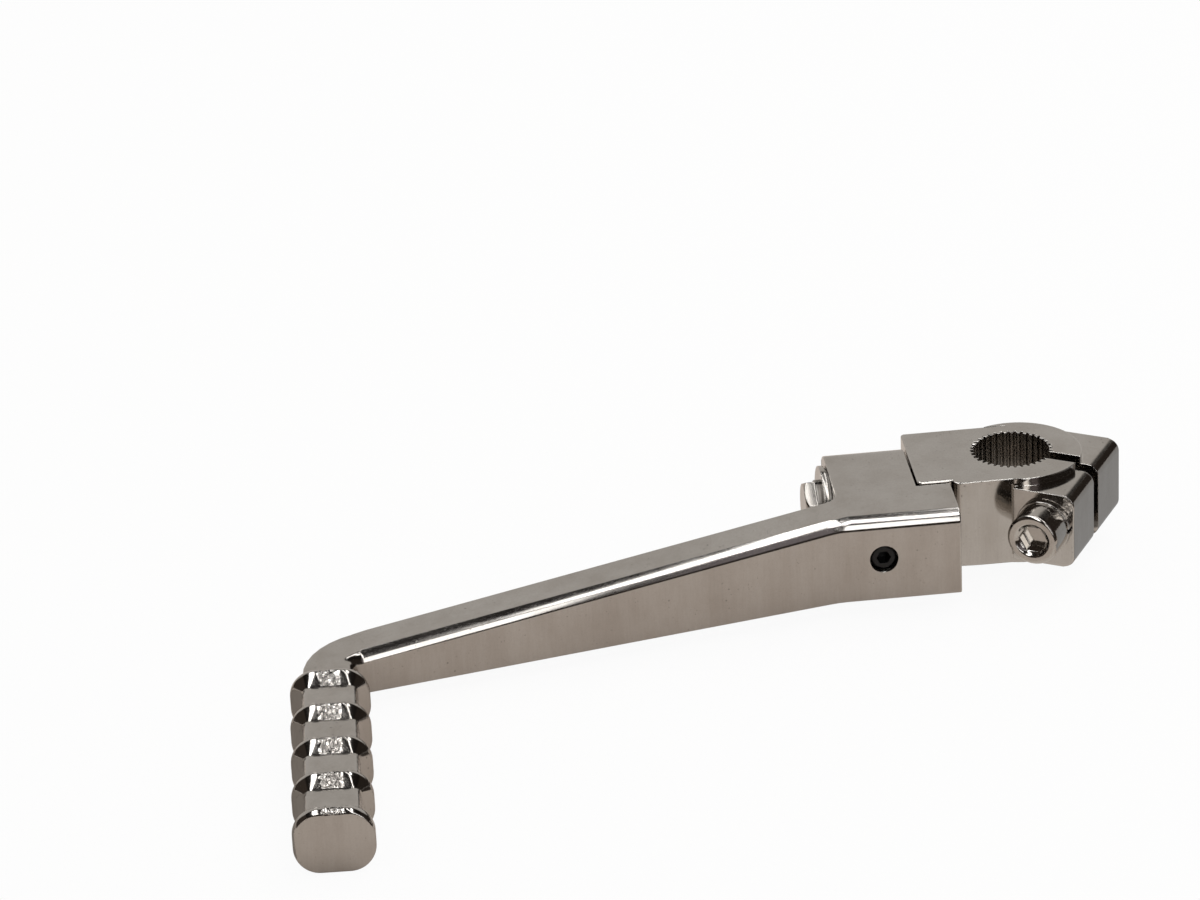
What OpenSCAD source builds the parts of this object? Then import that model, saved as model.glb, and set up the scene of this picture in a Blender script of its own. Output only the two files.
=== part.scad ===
// Folding kick start lever with a splined clamp hub.
// The origin is where the kick shaft axis (Z) crosses the pivot axis (X), at the middle of the hub's height.
// The arm leaves towards -X. Folded, the foot peg points along -Y, and in use along -Z.

/* [Splined hub] */
// Height of the hub along the kick shaft
hub_h = 18.4; // [16:0.1:22]
// Outside radius of the round boss around the kick shaft
boss_r = 12.5; // [12:0.1:14]
// Distance of the boss's centre from the shaft axis, towards the slit
boss_shift = 1.4; // [0:0.1:2]
// Distance from the shaft axis to the hub's front face
face_front = 12.7; // [12.2:0.1:14]
// Distance from the shaft axis to the hub's back face
face_back = 10.8; // [10:0.1:12.5]
// Distance from the shaft axis to where the block narrows to the neck
block_reach = 13.8; // [13:0.1:16]
// Distance from the shaft axis to the shoulder that faces the lever
neck_reach = 20.6; // [19:0.1:24]
// Distance from the pivot axis to both stop faces of the neck
stop_r = 11; // [10:0.1:12]
// Radius of the block's upright front edge beside the lever's tab
block_corner_r = 1.5; // [0.6:0.1:2]
// Radius of the neck's upright edges
neck_corner_r = 0.8; // [0.4:0.1:1.5]

/* [Spline] */
// Radius over the tips of the teeth
spline_tip_r = 7.4; // [6.8:0.05:7.6]
// Depth of the teeth
spline_depth = 0.7; // [0.5:0.05:0.9]
// Number of teeth
spline_teeth = 36; // [24:1:40]
// Share of the pitch that a tooth gap takes at the tips
gap_share = 0.58; // [0.5:0.01:0.65]
// Share of the pitch that a tooth gap takes at the roots
gap_root_share = 0.24; // [0.15:0.01:0.35]

/* [Clamp ears] */
// Angle of the slit from the line of the arm, towards the front
ear_angle = 30; // [20:1:35]
// Distance from the shaft axis to the end of the ears
ear_reach = 17.6; // [17.2:0.1:20]
// Distance from the shaft axis along the slit to the start of the ears
ear_start = 5; // [3:0.1:6]
// Distance from the slit's middle to the ear face under the bolt head
ear_front = 13; // [12:0.1:14]
// Distance from the slit's middle to the far ear's outer face
ear_back = 14; // [12:0.1:15]
// Step from the boss's top down to the top of the ears
ear_drop = 1.6; // [1:0.1:3]
// Step from the boss's bottom up to the bottom of the ears
ear_lift = 1.3; // [0.4:0.1:2]
// Radius of the long edges at the end of the ears
ear_edge_r = 2.4; // [1:0.1:3]
// Width of the slit
slit_w = 3; // [2:0.1:4]

/* [Pivot] */
// Radius of the spindle that the lever turns on
spindle_r = 6; // [5.5:0.1:6.5]
// Radial clearance between spindle and lever
spindle_clear = 0.05; // [0.02:0.01:0.1]
// Gap between the hub's shoulder and the lever
shoulder_gap = 0.3; // [0.1:0.05:0.5]
// Gap between the lever's stop tab and the stop faces
stop_gap = 0.3; // [0.2:0.05:0.5]
// Length of the spindle outside the lever's boss
spindle_stand = 0.3; // [0.2:0.05:0.6]
// Depth of the recess for the thrust washer in the lever's boss
recess = 0.4; // [0.3:0.05:1]

/* [Lever boss and tab] */
// Length of the lever's boss along the pivot
boss_len = 16.1; // [14:0.1:20]
// Height of the lever's boss
lever_h = 17.6; // [16:0.1:20]
// Distance from the pivot axis to the lever's front face
lever_front = 24.1; // [22:0.1:27]
// Distance from the pivot axis to the back of the boss
lever_back = 8.7; // [8.2:0.1:10]
// Radius of the boss's two long back edges
back_edge_r = 5; // [3:0.1:5.5]
// Radius of the long edge between the top and the front
front_edge_r = 2.4; // [1.5:0.1:3.5]
// Gap between the end of the tab and the hub's block
tab_gap = 0.4; // [0.3:0.05:0.6]
// Radius where the boss's outer wall runs into the arm
root_fillet_r = 3.5; // [2:0.1:5]

/* [Arm] */
// Distance from the lever's outer wall to the inside corner at the peg
arm_len = 96.7; // [70:0.1:130]
// Width of the arm seen from above
arm_w = 9.3; // [8:0.1:12]
// Angle that the arm bends forward
arm_angle = 10.5; // [6:0.5:14]
// Height of the arm at the peg
arm_end_h = 8.3; // [7:0.1:10]
// Drop of the arm's underside from the boss to the peg
arm_drop = 1; // [0:0.1:2]
// Radius of the bend between boss and arm
bend_r = 25; // [15:1:40]
// Radius of the outside curve into the peg
elbow_r = 16; // [10:0.5:18]
// Radius of the inside corner at the peg
elbow_inner_r = 2.5; // [1:0.1:4]

/* [Foot peg] */
// Width of the peg's neck seen from above
neck_w = 9.8; // [9:0.1:13]
// Length of the neck from the inside corner to the first ridge
neck_len = 8.2; // [6:0.1:12]
// Width of the peg over the ridges
peg_w = 15.1; // [14:0.1:18]
// Height of the peg over the ridges
peg_h = 12.9; // [11.5:0.1:15]
// Drop of the peg's axis below the middle of the arm's end
peg_drop = 0.3; // [0:0.1:1]
// Radius of the four long corners of the peg
peg_corner_r = 4.6; // [3:0.1:5]
// Distance between ridges
ridge_pitch = 12.8; // [10:0.1:15]
// Number of ridges, the end one included
ridges = 5; // [3:1:6]
// Depth of the grooves between ridges
groove_depth = 1.8; // [1:0.1:2]
// Depth of the grooves at the sides as a share of their depth above and below
groove_side = 1.3; // [1:0.05:1.4]
// Radius of the four long corners in the grooves
groove_corner_r = 1.6; // [1:0.1:3]
// Width of a ridge's crest
crest_w = 1.4; // [0.8:0.1:2]
// Length of a ridge's slope
slope_len = 2.1; // [1:0.1:2.5]
// Radius of the rim at the end face
rim_r = 1.2; // [0.6:0.1:1.5]
// Angle that the peg leans outwards from square to the pivot
peg_lean = 2.7; // [0:0.1:6]

/* [Detent] */
// Diameter of the drilled and tapped hole in the lever
detent_d = 5.2; // [4:0.1:6]
// Distance of the hole from the lever's outer wall
detent_place = 7.6; // [6:0.1:9]
// Radial clearance of ball and set screw in the hole
detent_clear = 0.04; // [0.02:0.01:0.1]
// Depth of the groove that the ball rolls in
groove_cut = 0.4; // [0.2:0.05:0.6]
// Extra depth of the pocket at each end of the groove
pocket_cut = 0.3; // [0.1:0.05:0.5]
// Play between the ball and the groove
ball_play = 0.05; // [0.03:0.01:0.1]
// Length of the set screw
screw_len = 6; // [4:0.1:7]
// Depth of the set screw below the lever's front face
screw_sink = 0.7; // [0.3:0.1:2]
// Width across flats of the set screw's socket
screw_key = 2.5; // [2:0.1:3]
// Wire diameter of the spring
wire_d = 0.7; // [0.5:0.05:0.8]
// Number of turns of the spring
spring_turns = 5; // [3:1:7]

/* [Fasteners] */
// Diameter of the pivot bolt and the pinch bolt
bolt_d = 6; // [5:0.1:6]
// Radial clearance of a bolt in its thread
thread_clear = 0.02; // [0.01:0.01:0.05]
// Radial clearance of the pinch bolt in the front ear
ear_clear = 0.25; // [0.2:0.05:0.3]
// Distance from the shaft axis along the slit to the pinch bolt
pinch_place = 11.5; // [11.4:0.1:12.5]
// Height of the pinch bolt's axis over the hub's middle
pinch_rise = 0.8; // [-1:0.1:1]
// Length of the pinch bolt's shank
pinch_len = 25; // [20:1:27]
// Diameter of the pinch bolt's head
cap_d = 10.4; // [9:0.1:10.5]
// Height of the pinch bolt's head
cap_h = 6; // [5:0.1:7]
// Width across flats of the pinch bolt's socket
cap_key = 5; // [4:0.1:5.5]
// Diameter of the round countersink at the mouth of the pinch bolt's socket
cap_mouth = 7.2; // [6:0.1:8]
// Depth of the pinch bolt's socket
cap_key_depth = 3; // [2:0.1:4]
// Width across flats of the pivot bolt's head
hex_key = 10; // [9:0.1:11]
// Height of the pivot bolt's head
hex_h = 2.4; // [2.2:0.1:4.5]
// Length of the pivot bolt's shank
pivot_len = 14; // [10:0.1:15]
// Outside diameter of both lock washers
lock_d = 11; // [10:0.1:12]
// Thickness of the pinch bolt's lock washer
pinch_lock_t = 1.5; // [1:0.1:1.8]
// Thickness of the pivot bolt's lock washer
pivot_lock_t = 1; // [0.8:0.1:1.8]
// Outside diameter of the pivot washer
washer_d = 16.5; // [14:0.1:17]
// Thickness of the pivot washer
washer_t = 1.1; // [0.8:0.1:2]
// Outside diameter of the thrust washer
thrust_d = 15.2; // [14:0.1:16]

/* [Hidden] */
$fn = 64;

// Past a face, so that a cut leaves no skin
over = 1;
// Depth of the countersink in the pinch bolt's head
mouth_depth = 0.8;
// Chamfer on bolt ends, heads and washers
small_chamfer = 0.5;
// Inner end of block and neck, off the shaft axis so that its edge runs into a tooth gap
inner_end = 0.65;
// Axial play on each side of the thrust washer
thrust_play = 0.1;
// Gap between the spring and the ball, and between the spring and the set screw
seat_gap = 0.03;
// Slot in a lock washer
lock_slot = 0.8;
// Chamfer at the mouth of the detent hole
mouth_chamfer = 0.15;
// Straight pieces in one rounded corner of an outline
arc_steps = 8;

// Places along the pivot, counted from the shaft axis towards the arm
boss_start = neck_reach + shoulder_gap;
boss_end = boss_start + boss_len;
spindle_end = boss_end + spindle_stand;
thrust_t = spindle_stand + recess - 2 * thrust_play;
washer_end = spindle_end + washer_t;
pivot_lock_end = washer_end + pivot_lock_t;
tab_end = block_reach + tab_gap;
tab_back = stop_r + stop_gap;

// Places in the plan of the lever
half_h = lever_h / 2;
arm_turn = tan(arm_angle);
bend_x = -boss_end - 1;
inner_x = -boss_end - arm_len;
inner_y = -lever_front + (inner_x - bend_x) * arm_turn;
back_shift = arm_w / cos(arm_angle);
peg_dir = [-sin(peg_lean), -cos(peg_lean)];
peg_side = [cos(peg_lean), -sin(peg_lean)];
neck_mid = [inner_x, inner_y] - peg_side * neck_w / 2;
outer_x = inner_x - neck_w / cos(peg_lean);
outer_y = inner_y + back_shift + (outer_x - inner_x) * arm_turn;
root_y = -lever_front + back_shift + (-boss_end - bend_x) * arm_turn;
neck_end = [inner_x, inner_y] + peg_dir * neck_len;
arm_bottom = -half_h - arm_drop;
arm_top = arm_bottom + arm_end_h;
peg_z = arm_bottom + arm_end_h / 2 - peg_drop;
top_fall = (half_h - arm_top) / (bend_x - inner_x);

// Places along the detent hole, counted from the pivot axis
ball_r = detent_d / 2 - detent_clear;
ball_place = spindle_r - groove_cut + ball_play + ball_r;
screw_out = lever_front - screw_sink;
screw_in = screw_out - screw_len;
detent_x = -boss_end + detent_place;

// Unit vector along v
function unit(v) = v / norm(v);

// Points of a round of radius r at corner b, between the points a and c
function round_at(a, b, c, r) =
    let (
        u = unit(a - b),
        w = unit(c - b),
        half = acos(u * w) / 2,
        centre = b + unit(u + w) * r / sin(half),
        from = b + u * r / tan(half) - centre,
        to = b + w * r / tan(half) - centre,
        start = atan2(from[1], from[0]),
        turn = atan2(from[0] * to[1] - from[1] * to[0], from * to)
    )
    [
        for (i = [0 : arc_steps])
            let (a = start + turn * i / arc_steps)
            centre + r * [cos(a), sin(a)]
    ];

// Open outline through corners [x, y, radius], where a radius of 0 keeps the corner
function rounded(corners) = [
    for (i = [0 : len(corners) - 1])
        let (b = corners[i], p = [b[0], b[1]])
        each b[2] == 0 ? [p] :
            let (a = corners[i - 1], c = corners[i + 1])
            round_at([a[0], a[1]], p, [c[0], c[1]], b[2])
];

// Height of the lever's top over the pivot axis at x
function top_at(x) = x > bend_x ? half_h : max(arm_top, half_h - (bend_x - x) * top_fall);

// Front outline of the lever from the tab to the first ridge
front_line = rounded([
    [-tab_end, -lever_front, 0],
    [bend_x, -lever_front, bend_r],
    [inner_x, inner_y, elbow_inner_r],
    [neck_end[0], neck_end[1], 0]
]);

// Back outline of the lever from the first ridge to the tab
back_line = rounded([
    [neck_end[0] - peg_side[0] * neck_w, neck_end[1] - peg_side[1] * neck_w, 0],
    [outer_x, outer_y, elbow_r],
    [-boss_end, root_y, root_fillet_r],
    [-boss_end, lever_back, 1.2],
    [-boss_start, lever_back, 0],
    [-boss_start, -tab_back, 0],
    [-tab_end, -tab_back, 0]
]);

// Solid between equal rings of points, closed at both ends
module loft(rings) {
    n = len(rings[0]);
    last = len(rings) - 1;
    polyhedron(
        points = [for (ring = rings) each ring],
        faces = concat(
            [[for (k = [0 : n - 1]) k]],
            [[for (k = [0 : n - 1]) last * n + n - 1 - k]],
            [
                for (i = [0 : last - 1], k = [0 : n - 1], half = [0, 1])
                    let (a = i * n + k, b = i * n + (k + 1) % n)
                    half == 0 ? [a, a + n, b] : [b, a + n, b + n]
            ]
        ),
        convexity = 8
    );
}

// Cylinder along X from x towards -X
module along_x(x, length, r) {
    translate([x - length, 0, 0]) rotate([0, 90, 0]) cylinder(h = length, r = r);
}

// Cylinder along Y from distance y in front of the pivot axis, towards the front
module towards_front(y, length, r) {
    translate([detent_x, -y, 0]) rotate([90, 0, 0]) cylinder(h = length, r = r);
}

// Moves children to the clamp ears' frame: +X along the slit, +Z towards the bolt head
module in_ear_frame() {
    rotate([0, 0, -ear_angle]) rotate([90, 0, 0]) children();
}

// Hexagon with the given width across flats
module hexagon(key) {
    circle(r = key / sqrt(3), $fn = 6);
}

// Bar along the kick shaft with the block's upright edges rounded
module rounded_block(x0, x1, y0, y1, z0, z1, r) {
    translate([0, 0, z0]) linear_extrude(z1 - z0) union() {
        translate([x0 + r, y0]) square([x1 - x0 - r, y1 - y0]);
        translate([x0, y0 + r]) square([x1 - x0, y1 - y0 - 2 * r]);
        for (y = [y0 + r, y1 - r]) translate([x0 + r, y]) circle(r = r);
    }
}

// Neck of the hub, with the stop faces and the round heel between them
module neck() {
    difference() {
        rounded_block(-neck_reach, inner_end, -stop_r, face_back, -stop_r, hub_h / 2, neck_corner_r);
        translate([-block_reach, -stop_r - over, -stop_r - over])
            cube([block_reach + over, stop_r + face_back + 2 * over, stop_r - hub_h / 2 + over]);
        translate([-neck_reach - over, 0, 0]) rotate([0, 90, 0]) difference() {
            translate([0, -stop_r - over, 0]) cube([stop_r + over, stop_r + over, neck_reach + over]);
            translate([0, 0, -over]) cylinder(h = neck_reach + 3 * over, r = stop_r);
        }
    }
}

// Outline of the clamp ears seen along the pinch bolt
module ear_profile() {
    low = -hub_h / 2 + ear_lift;
    high = hub_h / 2 - ear_drop;
    translate([ear_start, low]) square([ear_reach - ear_start - ear_edge_r, high - low]);
    translate([ear_start, low + ear_edge_r]) square([ear_reach - ear_start, high - low - 2 * ear_edge_r]);
    for (z = [low + ear_edge_r, high - ear_edge_r])
        translate([ear_reach - ear_edge_r, z]) circle(r = ear_edge_r);
}

// Gaps between the teeth of the spline
module tooth_gaps() {
    pitch = 360 / spline_teeth;
    tip = pitch * gap_share / 2;
    root = pitch * gap_root_share / 2;
    root_r = spline_tip_r + spline_depth;
    inside_r = spline_tip_r - 2 * spline_depth;
    for (i = [0 : spline_teeth - 1])
        rotate([0, 0, (i + 0.5) * pitch]) translate([0, 0, -hub_h]) linear_extrude(2 * hub_h) polygon([
            [inside_r, -spline_tip_r * sin(tip)],
            [spline_tip_r * cos(tip), -spline_tip_r * sin(tip)],
            [root_r * cos(root), -root_r * sin(root)],
            [root_r * cos(root), root_r * sin(root)],
            [spline_tip_r * cos(tip), spline_tip_r * sin(tip)],
            [inside_r, spline_tip_r * sin(tip)]
        ]);
}

// Groove and end pockets that the detent ball runs in
module detent_track() {
    track_r = ball_r + ball_play;
    translate([detent_x, 0, 0]) rotate([0, 90, 0])
        rotate_extrude() translate([ball_place, 0]) circle(r = track_r);
    for (way = [[0, -1], [-1, 0]])
        translate([detent_x, (ball_place - pocket_cut) * way[1], (ball_place - pocket_cut) * way[0]])
            sphere(r = track_r);
}

module hub() {
    color([0.62, 0.6, 0.57]) difference() {
        union() {
            rotate([0, 0, -ear_angle]) translate([boss_shift, 0, 0])
                cylinder(h = hub_h, r = boss_r, center = true);
            rounded_block(-block_reach, inner_end, -face_front, 0, -hub_h / 2, hub_h / 2, block_corner_r);
            neck();
            in_ear_frame() translate([0, 0, -ear_back]) linear_extrude(ear_front + ear_back) ear_profile();
            along_x(0, spindle_end, spindle_r);
        }
        cylinder(h = hub_h + 2 * over, r = spline_tip_r, center = true);
        tooth_gaps();
        rotate([0, 0, -ear_angle]) translate([0, -slit_w / 2, -hub_h])
            cube([ear_reach + over, slit_w, 2 * hub_h]);
        in_ear_frame() translate([pinch_place, pinch_rise, 0]) {
            cylinder(h = ear_front + over, r = bolt_d / 2 + ear_clear);
            translate([0, 0, -ear_back - over]) cylinder(h = ear_back + over, r = bolt_d / 2 + thread_clear);
        }
        along_x(-spindle_end + pivot_len, pivot_len + over, bolt_d / 2 + thread_clear);
        detent_track();
    }
}

// Removes the square edge between the lever's top and front, leaving a round of front_edge_r
module front_edge_cut() {
    n = len(front_line);
    loft([
        for (i = [0 : n])
            let (
                k = min(i, n - 1),
                along = unit(front_line[min(k + 1, n - 1)] - front_line[max(k - 1, 0)]),
                inward = [along[1], -along[0]],
                place = front_line[k] + (i == 0 ? [over, 0] : (i == n ? along * over : [0, 0])),
                top = top_at(place[0]),
                arc = [
                    for (a = [0 : 90 / arc_steps : 90])
                        [front_edge_r * (1 - sin(a)), -front_edge_r * (1 - cos(a))]
                ],
                first = arc[0] + (arc[0] - arc[1]) / 2,
                last = arc[arc_steps] + (arc[arc_steps] - arc[arc_steps - 1]) / 2,
                section = concat([first], [for (j = [1 : arc_steps - 1]) arc[j]], [last], [[-over, over]])
            )
            [for (p = section) [place[0] + inward[0] * p[0], place[1] + inward[1] * p[0], top + p[1]]]
    ]);
}

// Rounds one long back edge of the lever's boss, the top one for side 1 and the bottom one for side -1
module back_edge_cut(side) {
    r = back_edge_r;
    translate([-boss_end - over, lever_back - r, side * (half_h - r)]) difference() {
        translate([0, 0, side > 0 ? 0 : -r - over]) cube([boss_len + 2 * over, r + over, r + over]);
        translate([-over, 0, 0]) rotate([0, 90, 0]) cylinder(h = boss_len + 4 * over, r = r);
    }
}

// Side view of the lever, which gives the arm its taper
module side_profile() {
    far = outer_x - over;
    polygon(concat(
        [[0, -half_h], [0, half_h]],
        round_at([0, half_h], [bend_x, half_h], [inner_x, arm_top], 2 * bend_r),
        [[inner_x, arm_top], [far, arm_top], [far, arm_bottom], [inner_x, arm_bottom], [bend_x, -half_h]]
    ));
}

// Ring of points round the peg at distance d along it, drawn in by cut on every side
function peg_ring(d, cut) =
    let (
        w = peg_w / 2 - cut * groove_side,
        h = peg_h / 2 - cut,
        r = max(groove_corner_r, peg_corner_r - cut * (peg_corner_r - groove_corner_r) / groove_depth),
        steps = 5
    )
    [
        for (quarter = [0 : 3], j = [0 : steps])
            let (
                a = 90 * quarter + 90 * j / steps,
                sx = quarter == 0 || quarter == 3 ? 1 : -1,
                sz = quarter < 2 ? 1 : -1,
                across = sx * (w - r) + r * cos(a),
                up = sz * (h - r) + r * sin(a),
                p = neck_mid + peg_dir * (neck_len + d) + peg_side * across
            )
            [p[0], p[1], peg_z + up]
    ];

// Foot peg with its ridges, from the neck to the end face
module ridged_peg() {
    ridge = [
        [-crest_w / 2 - slope_len, groove_depth],
        [-crest_w / 2, 0.12],
        [-crest_w / 4, 0],
        [crest_w / 4, 0],
        [crest_w / 2, 0.12],
        [crest_w / 2 + slope_len, groove_depth]
    ];
    body = [
        for (i = [0 : ridges - 1], p = ridge)
            if (i < ridges - 1 || p[0] < crest_w / 2) [i * ridge_pitch + p[0], p[1]]
    ];
    end = (ridges - 1) * ridge_pitch + crest_w / 4;
    rim = [for (a = [30 : 30 : 90]) [end + rim_r * sin(a), 0.6 * rim_r * (1 - cos(a))]];
    start = [[body[0][0] - 1, peg_h / 2 - arm_end_h / 2 + 0.4]];
    loft([for (p = concat(start, body, rim)) peg_ring(p[0], p[1])]);
}

module lever_arm() {
    color([0.64, 0.61, 0.58]) difference() {
        union() {
            difference() {
                intersection() {
                    translate([0, 0, -hub_h])
                        linear_extrude(2 * hub_h) polygon(concat(front_line, back_line));
                    translate([0, 2 * lever_back, 0]) rotate([90, 0, 0])
                        linear_extrude(2 * lever_back + arm_len) side_profile();
                }
                for (side = [-1, 1]) back_edge_cut(side);
                front_edge_cut();
            }
            ridged_peg();
        }
        along_x(0, boss_end + over, spindle_r + spindle_clear);
        towards_front(0, lever_front + over, detent_d / 2);
        along_x(-boss_end + recess, recess + over, thrust_d / 2 + thrust_play);
        translate([detent_x, -lever_front + mouth_chamfer, 0]) rotate([90, 0, 0])
            cylinder(h = 2 * mouth_chamfer, r1 = detent_d / 2, r2 = detent_d / 2 + 2 * mouth_chamfer);
    }
}

module detent_ball() {
    color([0.72, 0.72, 0.74]) translate([detent_x, -ball_place, 0]) sphere(r = ball_r);
}

// Coil spring between the ball and the set screw, with closed flat ends
module detent_spring() {
    coil_r = detent_d / 2 - 2 * detent_clear - wire_d / 2;
    seat = ball_place + sqrt(pow(ball_r + wire_d / 2, 2) - coil_r * coil_r) + seat_gap;
    reach = screw_in - seat - wire_d / 2 - seat_gap;
    per_turn = 14;
    steps = per_turn * (spring_turns + 2);
    rise = 1.05 * wire_d;
    sides = 8;
    color([0.5, 0.5, 0.52]) loft([
        for (i = [0 : steps])
            let (
                turns = i / per_turn,
                share = min(1, max(0, (turns - 1) / spring_turns)),
                closing = min(0, turns - 1) + max(0, turns - spring_turns - 1),
                y = seat + (1 + closing) * rise + share * (reach - 2 * rise)
            )
            [
                for (j = [0 : sides - 1])
                    let (b = -360 * j / sides, r = coil_r + wire_d / 2 * cos(b))
                    [detent_x + r * cos(360 * turns), -y - wire_d / 2 * sin(b), r * sin(360 * turns)]
            ]
    ]);
}

module set_screw() {
    chamfer = 0.4;
    r = detent_d / 2 - detent_clear;
    color([0.08, 0.08, 0.09]) difference() {
        translate([detent_x, -screw_in, 0]) rotate([90, 0, 0]) rotate_extrude() polygon([
            [0, 0],
            [r - chamfer, 0],
            [r, chamfer],
            [r, screw_len - chamfer],
            [r - chamfer, screw_len],
            [0, screw_len]
        ]);
        translate([detent_x, -screw_out + screw_len / 2, 0]) rotate([90, 0, 0])
            linear_extrude(screw_len) hexagon(screw_key);
    }
}

// Flat ring along X with its near face at x
module ring_along_x(x, thickness, outer_r, inner_r) {
    difference() {
        along_x(x, thickness, outer_r);
        along_x(x + over, thickness + 2 * over, inner_r);
    }
}

module thrust_washer() {
    color([0.35, 0.34, 0.33])
        ring_along_x(-boss_end + recess - thrust_play, thrust_t, thrust_d / 2, spindle_r + thrust_play);
}

module pivot_washer() {
    color([0.66, 0.64, 0.6]) ring_along_x(-spindle_end, washer_t, washer_d / 2, bolt_d / 2 + ear_clear);
}

module pivot_lock_washer() {
    color([0.3, 0.29, 0.28]) difference() {
        ring_along_x(-washer_end, pivot_lock_t, lock_d / 2, bolt_d / 2 + ear_clear);
        translate([-pivot_lock_end - over, -lock_slot / 2, 0])
            cube([pivot_lock_t + 2 * over, lock_slot, lock_d]);
    }
}

module pivot_bolt() {
    head = -pivot_lock_end;
    color([0.66, 0.64, 0.6]) {
        intersection() {
            translate([head - hex_h, 0, 0]) rotate([0, 90, 0]) linear_extrude(hex_h) hexagon(hex_key);
            translate([head - hex_h, 0, 0]) rotate([0, 90, 0])
                cylinder(h = 2 * hex_h, r1 = hex_key / 2 - 0.1, r2 = hex_key / 2 - 0.1 + 2 * hex_h * 1.2);
        }
        along_x(head + pivot_len + washer_t - over, pivot_len + washer_t - over + hex_h / 2, bolt_d / 2);
    }
}

module pinch_bolt() {
    seat = ear_front + pinch_lock_t;
    color([0.66, 0.63, 0.59]) in_ear_frame() translate([pinch_place, pinch_rise, seat]) difference() {
        union() {
            translate([0, 0, -pinch_len]) cylinder(h = pinch_len + cap_h / 2, r = bolt_d / 2);
            cylinder(h = cap_h - small_chamfer, r = cap_d / 2);
            translate([0, 0, cap_h - small_chamfer])
                cylinder(h = small_chamfer, r1 = cap_d / 2, r2 = cap_d / 2 - small_chamfer);
        }
        translate([0, 0, cap_h - cap_key_depth]) linear_extrude(cap_h) hexagon(cap_key);
        translate([0, 0, cap_h - mouth_depth])
            cylinder(h = 2 * mouth_depth, r1 = cap_mouth / 2 - mouth_depth, r2 = cap_mouth / 2 + mouth_depth);
    }
}

module pinch_lock_washer() {
    color([0.6, 0.57, 0.53]) in_ear_frame() translate([pinch_place, pinch_rise, ear_front]) difference() {
        cylinder(h = pinch_lock_t, r = lock_d / 2);
        translate([0, 0, -over]) cylinder(h = pinch_lock_t + 2 * over, r = bolt_d / 2 + ear_clear);
        translate([0, -lock_slot / 2, -over]) cube([lock_d, lock_slot, pinch_lock_t + 2 * over]);
    }
}

hub();
lever_arm();
detent_ball();
detent_spring();
set_screw();
thrust_washer();
pivot_washer();
pivot_lock_washer();
pivot_bolt();
pinch_bolt();
pinch_lock_washer();
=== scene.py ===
"""Looks of the folding kick start lever: cast pieces with rolled edges, plating, light and camera.

Every length is in metres in the row's frame unless a name or comment says mm. The hub's shaft axis
is Z, the pivot axis is X, and the folded foot peg points along -Y.
"""

import logging
import math
from dataclasses import dataclass, field
from enum import Enum
from typing import Callable, Iterable, Optional, Sequence, Union

import bmesh
import bpy
from mathutils import Matrix, Vector, noise


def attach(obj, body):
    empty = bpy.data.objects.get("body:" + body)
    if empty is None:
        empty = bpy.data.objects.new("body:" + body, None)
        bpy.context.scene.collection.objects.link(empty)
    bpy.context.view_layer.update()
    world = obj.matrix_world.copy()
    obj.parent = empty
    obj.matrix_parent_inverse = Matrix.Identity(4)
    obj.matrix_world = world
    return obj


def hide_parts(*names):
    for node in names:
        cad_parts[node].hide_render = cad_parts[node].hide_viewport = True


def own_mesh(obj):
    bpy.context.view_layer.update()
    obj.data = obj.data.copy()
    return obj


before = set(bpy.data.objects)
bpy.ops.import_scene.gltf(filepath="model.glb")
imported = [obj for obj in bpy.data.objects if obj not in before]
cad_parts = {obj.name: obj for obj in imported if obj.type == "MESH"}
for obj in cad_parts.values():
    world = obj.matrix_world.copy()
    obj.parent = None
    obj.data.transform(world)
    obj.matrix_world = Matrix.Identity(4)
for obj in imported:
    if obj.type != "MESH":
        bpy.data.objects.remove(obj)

logging.basicConfig(level=logging.INFO, format="%(levelname)s %(message)s")
LOG = logging.getLogger("kick_lever")

MM = 0.001
WELD = 1e-6
CUT_SLACK = 1e-7
FLAT_DEG = 0.05
SMOOTH_DEG = 34.0
NORMAL_WEIGHT = 80

Triple = tuple[float, float, float]
Pair = tuple[float, float]
Value = Union[float, "Field"]
Roughness = Callable[[Vector, Vector], float]

WHITE: Triple = (1.0, 1.0, 1.0)
WARM: Triple = (1.0, 0.965, 0.92)
BROWN: Triple = (1.0, 0.8, 0.66)


class Slot(Enum):
    """Material slots of the record."""

    HUB = "plated_hub"
    LEVER = "plated_lever"
    BEARING = "bearing_steel"
    SPRING = "spring_steel"
    BLACK = "black_oxide"
    DARK_WASHER = "dark_washer"
    WASHER = "plated_washer"
    BOLT = "plated_bolt"


class Body(Enum):
    """Bodies of the frame that pieces ride on."""

    KNUCKLE = "knuckle"
    LEVER = "lever"


# ---- Node graphs -------------------------------------------------------------------------------


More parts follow.
